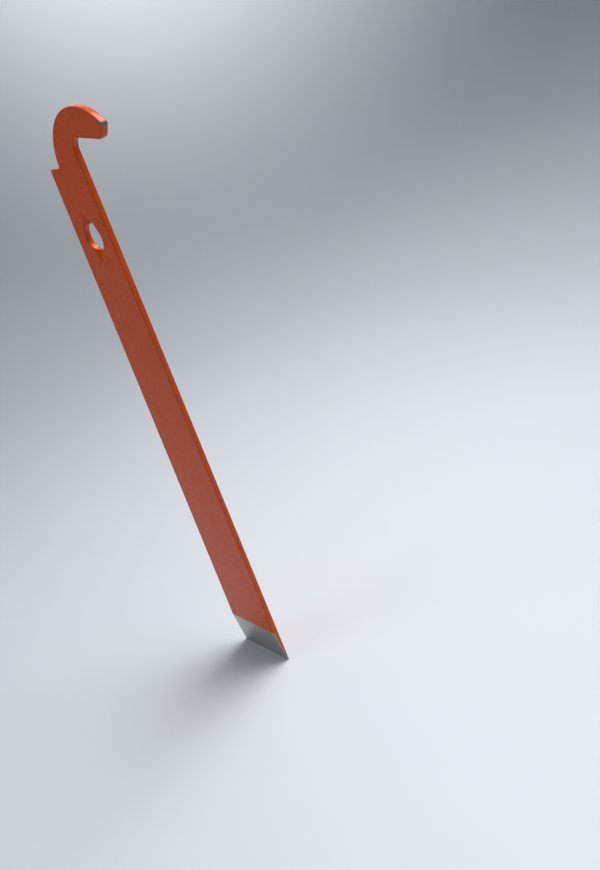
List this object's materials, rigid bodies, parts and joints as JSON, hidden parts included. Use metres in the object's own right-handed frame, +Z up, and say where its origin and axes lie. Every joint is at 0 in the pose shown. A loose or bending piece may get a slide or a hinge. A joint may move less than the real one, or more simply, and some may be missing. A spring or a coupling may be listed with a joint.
{
  "type": "hive tool",
  "caption": "Flat steel J-hook hive tool with a prying hook, a shoulder fulcrum, a nail hole and a ground scraper blade, painted orange.",
  "frame": {"origin": "middle of the narrow flat land at the cutting edge", "axes": "+Z up the bar from the cutting edge to the hook, +X across its width towards the hook's nose, -Y out of the face with the ground bevel"},
  "size_m": [0.0481, 0.0025, 0.267],
  "materials": {
    "painted_steel": "gloss"
  },
  "bodies": {
    "root": {"hive_tool": "painted_steel"}
  },
  "joints": []
}
